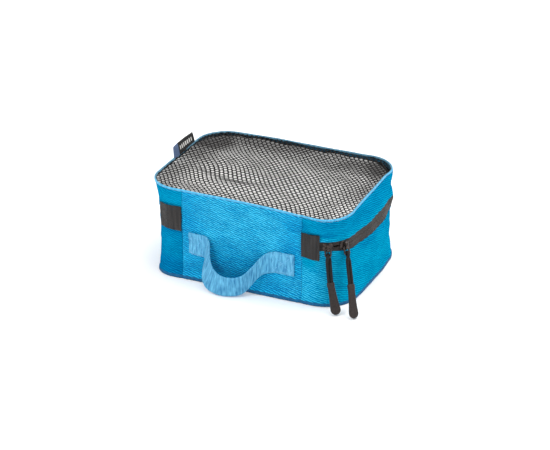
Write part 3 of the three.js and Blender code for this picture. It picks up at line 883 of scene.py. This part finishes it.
def lining():
    """White lining seen through the net, crumpled like tissue, with a border painted dark as shade that
    reaches the walls.
    """
    rows, columns = 90, 300
    share = np.linspace(0.01, 1, rows)[::-1, None]
    s = np.linspace(0, ROUND, columns, endpoint=False)[None]
    point, out = outline(s)
    inset = 2.5 + 1.0 * smooth((point[..., 1] - 20) / 40) + 1.5 * smooth((point[..., 0] - 60) / 30)
    edge = point - out * inset[..., None]
    in_wall = np.minimum(-0.9, swell(s, HEIGHT - LINING_DROP) - CLOTH / 2)
    tucked = np.concatenate([point + in_wall[..., None] * out, edge + 0.25 * out])
    flat = np.concatenate([tucked, edge * share[..., None]])
    x, y = flat[..., 0], flat[..., 1]
    crumple = 0.5 * noise(x / 9 + 20, y / 8 + 20, 71) + 0.3 * np.abs(noise(x / 4.6 + 25, y / 4.2 + 25, 72))
    deep = 1.0 * smooth((y - 30) / 28) + 2.0 * smooth((x - 62) / 24)
    # Painted shade: greyer towards the back, the right end and the left end, and in grey clouds over the
    # crumples
    shade = 1 - 0.62 * smooth((y - 14) / 46) - 0.5 * smooth((x - 58) / 32) * smooth((y + 40) / 60)
    shade = shade - 0.3 * smooth((-52 - x) / 34) * smooth((y + 10) / 50) - 0.36 * smooth((-56 - x) / 24)
    painted_crumple_shade = smooth(0.5 + 1.4 * noise(x / 17 + 33, y / 9 + 21, 74))
    shade = shade - 0.16 * painted_crumple_shade * (1 - hill(x, -10, 50) * hill(y, -45, 26))
    z = net_level(x, y) - 1.6 - deep + crumple
    top = np.stack([x, y, z], -1)
    bottom = top - [0, 0, 0.5]
    shade = np.clip(shade, 0.1, 1)
    # The border rows by the walls are painted near black as shade
    shade[:2] = BORDER_SHADE
    cloth = np.stack([x, y, shade], -1)
    under = cloth.reshape(-1, 3) * [1, 1, 0] + [0, 0, UNDERSIDE_SHADE]
    sheet = round_sheet("lining", top, bottom, cloth, [TISSUE], under)
    belongs(sheet, "lid", "white_tissue", "net_lining")


# ---------------------------------------------------------------- handle

PAD_LEFT, PAD_RIGHT = span("handle_end_left"), span("handle_end_right")
WEB_WIDTH = PAD_LEFT[1][2] - PAD_LEFT[0][2]
WEB_Z = (PAD_LEFT[0][2] + PAD_LEFT[1][2]) / 2
WEB = 1.3
WEB_RIB_PITCH = 2.2
THREAD_RADIUS = 0.28


def front_face(x, z):
    """Y of the front cloth's outer face at x and z."""
    return wall(np.mod(x, ROUND), z, 0.12)[..., 1]


def handle():
    """One strap of webbing: a pad, the free loop that sinks to the floor, and the other pad."""
    root_left, root_right = PAD_LEFT[1][0], PAD_RIGHT[0][0]
    top, low = WEB_Z + WEB_WIDTH / 2, WEB_Z - WEB_WIDTH / 2
    far_left = np.linspace(PAD_LEFT[0][0], root_left - 1.5, 22)
    far_right = np.linspace(root_right + 3, PAD_RIGHT[1][0], 22)
    raised = lambda x: 2.2 - 0.5 * (x - PAD_LEFT[0][0]) / (root_left - PAD_LEFT[0][0])
    # The two edges of the free loop, each point as x, distance out from the cloth, and height
    upper = [
        (far_left[-1], 0, top + 1.8), (root_left + 1.5, 0.4, top + 1.4), (root_left + 4.4, 1.8, top - 0.6),
        (root_left + 6.4, 4, 38.5), (root_left + 7.4, 6.2, 33.5), (root_left + 9.6, 9.2, 27),
        (-19.5, 13.4, 22.4), (-11.6, 17.4, 20.1), (-3.2, 19.0, 20.2), (3.9, 17.4, 21.0), (9.4, 14.0, 23.6),
        (14.4, 8.8, 29.4), (20.1, 4.4, 36.8), (25, 1.6, 41.4), (far_right[0], 0, top - 0.2)]
    lower = [
        (far_left[-1], 0, low + 1.8), (root_left + 0.4, 0.3, low + 1.2), (root_left + 1.2, 1.8, low - 0.8),
        (root_left + 0.6, 4.2, 18.6), (root_left + 0.7, 6.6, 14.4), (root_left + 2.4, 10.6, 7.4),
        (-25, 14.8, 2.8), (-14.5, 17.4, 1.1), (-4, 16.2, 1.1), (3.2, 12.8, 1.7), (7.8, 9.6, 4.2),
        (12, 6.6, 9.4), (17.8, 3.0, 17.2), (23, 1.0, 21.4), (far_right[0], 0, low - 0.2)]
    upper, lower = (catmull(line, 8) for line in (upper, lower))
    pad = lambda x, height: np.stack([x, 0 * x, height + 0 * x], -1)
    upper = np.vstack([pad(far_left, top + raised(far_left))[:-1], upper, pad(far_right, top)[1:]])
    lower = np.vstack([pad(far_left, low + raised(far_left))[:-1], lower, pad(far_right, low)[1:]])
    across = np.linspace(-0.5, 0.5, 29)
    share = (across + 0.5)[None, :, None]
    body = lower[:, None] * (1 - share) + upper[:, None] * share
    x, out, z = body[..., 0], body[..., 1], body[..., 2]
    z = z + 0.25 * noise(x / 9 + 30, z / 9 + 30, 81)
    held = 1 - smooth(out / 3)
    face = held * front_face(x, z) + (1 - held) * -HALF_WIDTH
    centre = np.stack([x, face - WEB / 2 - 0.1 - out, z], -1)
    normal = unit(np.cross(np.gradient(centre, axis=0), np.gradient(centre, axis=1)))
    walked = length_along(centre[:, len(across) // 2])
    edge = 1 - 0.55 * smooth((np.abs(across) - 0.455) / 0.045)
    rib = 1 + 0.09 * np.cos(2 * math.pi * across * WEB_WIDTH / WEB_RIB_PITCH)
    half = (WEB / 2 * edge * rib)[None, :, None]
    cloth = np.stack(np.broadcast_arrays(walked[:, None], across[None] * WEB_WIDTH, 0.0), -1)
    strap = slab("webbing_handle", centre + normal * half, centre - normal * half, cloth, [WEBBING])
    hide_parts("handle_end_left", "handle_end_right", "handle_loop")
    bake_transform(strap)


def stitch_run(start, end, length=2.3, gap=0.8):
    """Ends of each stitch on a straight seam."""
    start, end = np.array(start, float), np.array(end, float)
    total = np.linalg.norm(end - start)
    count = max(1, int(round((total + gap) / (length + gap))))
    step = (end - start) / count
    trim = gap / (2 * (length + gap))
    return [(start + step * (k + trim), start + step * (k + 1 - trim)) for k in range(count)]


def stitches(name, runs, surface, finish):
    """Thread stitches, each an arched capsule that dips into the cloth at both ends."""
    points, faces = [], []
    section = oval(THREAD_RADIUS, THREAD_RADIUS, 6)
    for start, end in runs:
        t = np.linspace(0, 1, 7)
        line = np.array(start)[None] * (1 - t[:, None]) + np.array(end)[None] * t[:, None]
        high = np.sin(math.pi * t) ** 0.6
        foot, out = surface(line)
        side = np.cross(out, unit(foot[-1] - foot[0]))
        thick = (0.35 + 0.65 * high)[:, None, None]
        centre = foot + out * (0.16 * high - 0.1)[:, None]
        skin, skin_faces = loft(swept(centre, thick * section, side, out))
        faces += [tuple(len(points) + k for k in face) for face in skin_faces]
        points += skin.tolist()
    return make(name, points, faces, [finish], cloth=np.array(points))


def handle_stitches():
    """A sewn square with a cross on each pad."""
    def pad_face(line):
        point = np.stack([line[:, 0], front_face(line[:, 0], line[:, 1]) - WEB - 0.1, line[:, 1]], -1)
        return point, np.tile([0.0, -1.0, 0.0], (len(line), 1))

    for place, (low, high) in (("left", PAD_LEFT), ("right", PAD_RIGHT)):
        middle_x = (low[0] + high[0]) / 2
        half_x, half_z = (high[0] - low[0]) / 2 - 1.8, WEB_WIDTH / 2 - 2.2
        corner = lambda i, k: (middle_x + i * half_x, WEB_Z + k * half_z)
        lines = [((-1, -1), (1, -1)), ((1, -1), (1, 1)), ((1, 1), (-1, 1)), ((-1, 1), (-1, -1)),
                 ((-1, -1), (1, 1)), ((-1, 1), (1, -1))]
        runs = [run for a, b in lines for run in stitch_run(corner(*a), corner(*b))]
        box_seam = stitches(f"box_stitch_{place}", runs, pad_face, THREAD)
        belongs(box_seam, "base", "light_webbing", f"handle_stitch_{place}")


# ---------------------------------------------------------------- label

def label_cloth():
    """Woven label: a blue end, a black field and a plain pale line of dashes."""
    finish = Finish("woven_label")
    along, across = finish.fabric_part("X"), finish.fabric_part("Y")
    blue, black = linear(78, 98, 132), linear(12, 12, 14)
    field = finish.ramp(along, [(0.0, blue), (0.235, blue), (0.245, black), (1.0, black)])
    dashes = finish.add("TexWave", "Fac", Scale=3.4, Distortion=0.0, Vector=finish.fabric())
    dashed = finish.maths("GREATER_THAN", dashes, 0.45)
    band = finish.maths("COMPARE", across, 0.52, 0.17)
    inner = finish.maths("COMPARE", along, 0.6, 0.29)
    pale = finish.maths("MULTIPLY", finish.maths("MULTIPLY", band, inner), dashed)
    colour = finish.add("Mix", "Result", data_type="RGBA", Factor=pale, A=field, B=linear(214, 212, 208))
    weave = finish.add("TexChecker", "Fac", Scale=90, Vector=finish.fabric())
    finish.put(finish.shader, Base_Color=colour, Roughness=0.6, Sheen_Weight=0.04, Specular_IOR_Level=0.3)
    finish.bumps((weave, 0.3, 0.0001))
    return finish.material


def label():
    """A folded woven label that stands on the rim of the left end and leans out a little."""
    low, high = span("side_label")
    y = np.linspace(low[1], high[1], 45)[:, None]
    share = (y - low[1]) / (high[1] - low[1])
    lean = np.radians(5 + 9 * share)
    foot_x, foot_z = high[0] - 0.6, low[2] - 1.4
    tall = high[2] - foot_z + 0.6 - 1.4 * share
    turn = np.linspace(0, 1, 21)[None]
    reach = np.where(turn < 0.5, turn, 1 - turn) * 2
    fold = 0.55 * np.sqrt(np.clip(1 - reach ** 10, 0, 1)) * np.where(turn < 0.5, -1, 1)
    bow = 0.8 * np.sin(math.pi * share) + 0.35 * noise(y / 7 + 9, 0 * y + 3, 91)
    up, out = reach * tall, fold - bow * reach
    x = foot_x - up * np.sin(lean) + out * np.cos(lean)
    z = foot_z + up * np.cos(lean) + out * np.sin(lean)
    points, faces = loft(np.stack([x, y + 0 * x, z], -1))
    place = np.stack(np.broadcast_arrays(share, reach, 0.0), -1)
    made = make("woven_label", points, faces, [label_cloth()], cloth=place)
    belongs(made, "lid", "label_cloth", "side_label")


# ---------------------------------------------------------------- sliders and pulls

def slider_frame(place):
    """Turns points out of the wall, along the zipper and up from its line into places in the frame."""
    eye = joint_point(f"ring_{place}_swing")
    axis = np.array([CORNER_X, -CORNER_Y, 0])
    out = unit((eye - axis) * [1, 1, 0])
    along = np.array([-out[1], out[0], 0])
    start = axis + out * CORNER + [0, 0, ZIP_Z]
    turned = np.array([out, along, (0, 0, 1)])
    return lambda points: start + points @ turned


def facing_out(points, faces):
    """The faces, turned over if the skin that they make is inside out."""
    volume = sum(points[face[0]] @ np.cross(points[face[k]], points[face[k + 1]])
                 for face in faces for k in range(1, len(face) - 1))
    return faces if volume > 0 else [tuple(face)[::-1] for face in faces]


def join_skins(name, skins, finishes):
    """One mesh of several closed skins."""
    points, faces = [], []
    for skin, skin_faces in skins:
        faces += [tuple(len(points) + k for k in face) for face in facing_out(skin, skin_faces)]
        points += skin.tolist()
    return make(name, points, faces, finishes, sharp=40)


def slider_plate(at, nose, low, high, dome):
    """A shield-shaped plate with rounded edges that follows the corner's bend, wider at its nose."""
    half = [(-4.5, 0), (-4.4, 2.7), (-3.8, 3.3), (-1.8, 3.7), (1.1, 4.3), (2.9, 4.0), (4.1, 2.4), (4.5, 0)]
    shape = catmull(half + [(y, -z) for y, z in half[-2:0:-1]] + half[:1], 5)[:-1]
    profile = [(0.02, low), (0.9, low), (1, low + 0.25), (1, high - 0.4), (0.95, high - 0.1),
               (0.82, high + 0.2 * dome), (0.5, high + 0.8 * dome), (0.02, high + dome)]
    share, x = (np.array(column)[:, None] for column in zip(*profile))
    y, z = share * nose * shape[None, :, 0], share * shape[None, :, 1]
    return loft(at(np.stack([x - y ** 2 / (2 * CORNER), y, z], -1)))


POST_FROM_MIDDLE = 3.4


def slider_body(place, nose):
    """A zipper slider: two plates, the post between them, and the bail that holds the ring."""
    at = slider_frame(place)
    upper_arch = [(0.9, 3.3), (2.2, 3.5), (3.6, 2.8), (4.3, 1.3)]
    arch = catmull(upper_arch + [(x, -z) for x, z in upper_arch[::-1]], 6)
    path = np.stack([arch[:, 0], 0 * arch[:, 0], arch[:, 1]], -1)
    along = np.tile([0.0, 1.0, 0.0], (len(path), 1))
    across = np.cross(along, unit(np.gradient(path, axis=0)))
    bail = loft(at(swept(path, oval(1.25, 0.55, 16, 0.55), along, across)))
    post_path = np.array([[x, nose * POST_FROM_MIDDLE, 0] for x in (-3.6, -2.0, 0.4, 0.9)])
    up = np.tile([0.0, 0.0, 1.0], (len(post_path), 1))
    post = loft(at(swept(post_path, oval(0.8, 0.25, 12, 0.6), along[:len(up)], up)))
    skins = [slider_plate(at, nose, 0.1, 1.1, 0.4), slider_plate(at, nose, -4.3, -3.2, 0.1), bail, post]
    body = join_skins(f"zip_slider_{place}", skins, [METAL])
    belongs(body, f"slider_{place}", "dark_metal", f"slider_body_{place}")


def pull_ring(place):
    """A chunky oval link that hangs in the bail."""
    eye, foot = joint_point(f"ring_{place}_swing"), joint_point(f"pull_{place}_swing")
    long = np.linalg.norm(foot - eye)
    down = (foot - eye) / long
    across = np.cross([0, 0, 1.0], unit((eye - [CORNER_X, -CORNER_Y, 0]) * [1, 1, 0]))
    bend = 2.3
    turn = np.linspace(0, 2 * math.pi, 64, endpoint=False)
    straight = np.sign(np.cos(turn)) * (long / 2 - bend) * smooth(np.abs(np.cos(turn)) / 0.2)
    drop = long / 2 - np.cos(turn) * bend - straight
    path = eye + down * drop[:, None] + across * (bend * np.sin(turn))[:, None]
    tangent = unit(np.roll(path, -1, 0) - np.roll(path, 1, 0))
    flat = np.tile(np.cross(down, across), (len(path), 1))
    rings = swept(path, oval(0.74, 0.6, 12, 0.75), np.cross(tangent, flat), flat)
    ring = join_skins(f"pull_link_{place}", [loft(rings, True)], [METAL])
    belongs(ring, f"ring_{place}", "dark_metal", f"pull_ring_{place}")


def grip_axes(name):
    """Top end, length direction pointing down, width direction, face direction and length of a CAD grip."""
    points = np.array([v.co for v in frame["nodes"][name].data.vertices]) / MM
    _, _, axes = np.linalg.svd(points - points.mean(0), full_matrices=False)
    down = axes[0] * -np.sign(axes[0][2])
    face = axes[2] * np.sign(axes[2] @ [1, -1, 0])
    side = np.cross(face, down)
    along = (points - points.mean(0)) @ down
    top = points.mean(0) + down * along.min()
    top = top + side * (((points - top) @ side).max() + ((points - top) @ side).min()) / 2
    top = top + face * (((points - top) @ face).max() + ((points - top) @ face).min()) / 2
    return top, down, side, face, along.max() - along.min()


def catmull(points, steps):
    """A smooth line through the points."""
    points = np.array(points, float)
    padded = np.vstack([2 * points[0] - points[1], points, 2 * points[-1] - points[-2]])
    line = []
    for k in range(len(points) - 1):
        a, b, c, d = padded[k:k + 4]
        t = np.linspace(0, 1, steps, endpoint=False)[:, None]
        square, cube = 2 * a - 5 * b + 4 * c - d, 3 * b - a - 3 * c + d
        line.append(0.5 * (2 * b + (c - a) * t + square * t ** 2 + cube * t ** 3))
    return np.vstack(line + [points[-1:]])


CORD_RADIUS = 1.3
RING_WIRE = 0.8
CORD_GAP = 0.25
BRAID_TWIST = 2.6


def pull_cord(place, top, side):
    """The doubled braided cord: up from the grip, round the ring's lower wire and back down."""
    foot = joint_point(f"pull_{place}_swing")
    length = np.linalg.norm(top - foot)
    line = (top - foot) / length
    aside = unit(side - line * (side @ line))
    out = np.cross(aside, line)
    at = lambda drop, outwards, sideways: foot + line * drop + out * outwards + aside * sideways
    turn = RING_WIRE + CORD_GAP + CORD_RADIUS
    strand = lambda k: [
        at(length + 2.5, 0, k * 1.2), at(length - 3, 0, k * 1.22), at(11, k * 0.1, k * 1.24),
        at(5, k * 0.5, k * 1.3), at(2.2, k * turn * 0.8, k * 1.3), at(-0.4, k * turn, k * 0.7)]
    path = catmull(strand(1) + [at(-turn, 0, 0)] + strand(-1)[::-1], 22)
    tangent = unit(np.gradient(path, axis=0))
    first = unit(aside[None] - tangent * (tangent @ aside)[:, None])
    around = np.linspace(0, 2 * math.pi, 16, endpoint=False)
    twist = BRAID_TWIST * length_along(path)[:, None]
    braid = np.maximum(np.sin(4 * around[None] + twist), np.sin(4 * around[None] - twist))
    radius = CORD_RADIUS * (1 + 0.07 * braid)
    section = np.stack([radius * np.cos(around), radius * np.sin(around)], -1)
    cord = tube(f"braided_cord_{place}", path, section, first, np.cross(tangent, first), [CORD])
    belongs(cord, f"pull_{place}", "dark_cord", f"pull_cord_{place}")


def pull_grip(place, top, down, side, face, length):
    """The moulded grip: a collar over the cords, a flat ribbed shank, and a wider end with a round boss."""
    t = np.concatenate([np.linspace(0, 0.1, 8), np.linspace(0.1, 0.9, 40)[1:], np.linspace(0.9, 1, 12)[1:]])
    width = np.interp(t, [0, 0.02, 0.06, 0.1, 0.16, 0.5, 0.84], [2.9, 3.15, 3.25, 3.25, 3.0, 3.45, 4.35])
    width = np.where(t > 0.84, 4.35 * np.sqrt(np.clip(1 - ((t - 0.84) / 0.162) ** 2, 0, 1)), width)
    deep = np.interp(t, [0, 0.03, 0.1, 0.17, 0.6, 0.86, 0.97, 1], [1.5, 1.95, 2.05, 1.7, 1.7, 1.95, 1.6, 0.9])
    around = np.linspace(0, 2 * math.pi, 48, endpoint=False)
    u = np.maximum(width, 0.35)[:, None] * squarer(np.cos(around), 0.62)[None]
    v = deep[:, None] * squarer(np.sin(around), 0.62)[None]
    grooves = smooth((t - 0.2) / 0.06) * smooth((0.78 - t) / 0.06)
    v = v * (1 - 0.13 * grooves[:, None] * (0.5 + 0.5 * np.cos(2 * math.pi * u / 1.7)))
    from_boss = np.hypot(u, (t[:, None] - 0.885) * length)
    v = v * (1 + 0.12 * (hill(from_boss, 2.0, 0.45) - hill(from_boss, 0, 1.2)))
    rings = top + down * (t[:, None, None] * length) + side * u[..., None] + face * v[..., None]
    grip = make(f"moulded_grip_{place}", *loft(rings), [RUBBER])
    belongs(grip, f"pull_{place}", "dark_rubber", f"pull_grip_{place}")


def pulls():
    for place in ("front", "rear"):
        slider_body(place, 1 if place == "front" else -1)
        pull_ring(place)
        top, down, side, face, length = grip_axes(f"pull_grip_{place}")
        pull_cord(place, top, side)
        pull_grip(place, top, down, side, face, length)


# ---------------------------------------------------------------- stage

def stage():
    """Plain white floor, soft white surroundings and three large lamps."""
    half = 4.0
    mesh = bpy.data.meshes.new("floor")
    corners = [(-half, -half, 0), (half, -half, 0), (half, half, 0), (-half, half, 0)]
    mesh.from_pydata(corners, [], [(0, 1, 2, 3)])
    floor = bpy.data.objects.new("floor", mesh)
    bpy.context.scene.collection.objects.link(floor)
    paper = Finish("white_paper")
    paper.put(paper.shader, Base_Color=(0.97, 0.97, 0.97, 1), Roughness=0.95, Specular_IOR_Level=0.1)
    mesh.materials.append(paper.material)
    floor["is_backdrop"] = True

    world = bpy.data.worlds.new("studio")
    world.use_nodes = True
    surroundings = world.node_tree.nodes["Background"].inputs
    surroundings["Color"].default_value = (1, 1, 1, 1)
    surroundings["Strength"].default_value = 0.82
    bpy.context.scene.world = world
    bpy.context.scene.view_settings.view_transform = "Standard"

    def lamp(name, place, size, power):
        light = bpy.data.lights.new(name, "AREA")
        light.size, light.energy = size, power
        holder = bpy.data.objects.new(name, light)
        holder.location = place
        holder.rotation_euler = (Vector((0, 0, 0.04)) - Vector(place)).to_track_quat("-Z", "Y").to_euler()
        bpy.context.scene.collection.objects.link(holder)

    lamp("key", (-0.5, -0.95, 1.1), 0.5, 9.6)
    lamp("side", (1.2, -0.5, 0.7), 0.8, 4.0)
    lamp("top", (0.35, 0.5, 1.3), 0.9, 13.0)


def camera():
    """The camera stands in front, a little to the right and above, with a long lens."""
    azimuth, elevation = math.radians(24.2), math.radians(26.1)
    distance, focal_length = 1.677, 124.6
    aim_right, aim_down = 0.0015, 0.0088
    back = Vector((math.sin(azimuth) * math.cos(elevation), -math.cos(azimuth) * math.cos(elevation),
                   math.sin(elevation)))
    right = Vector((math.cos(azimuth), math.sin(azimuth), 0))
    up = back.cross(right)
    target = Vector((0, 0, HEIGHT / 2 * MM)) + right * aim_right - up * aim_down
    data = bpy.data.cameras.new("camera")
    data.lens, data.sensor_width = focal_length, 36
    eye = bpy.data.objects.new("camera", data)
    eye.location = target + back * distance
    eye.rotation_euler = back.to_track_quat("Z", "Y").to_euler()
    bpy.context.scene.collection.objects.link(eye)
    bpy.context.scene.camera = eye


camera()
cloth_walls()
floor_cloth()
seam_ridges()
seam_tapes()
for half_name, side in (("base", -1), ("lid", 1)):
    zip_tape(half_name, side)
    zip_coil(half_name, side)
end_patches()
net()
lining()
handle()
handle_stitches()
label()
pulls()
stage()

sizes = {"cad": [list(corner) for corner in cad_box], "visual": [list(corner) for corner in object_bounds()]}
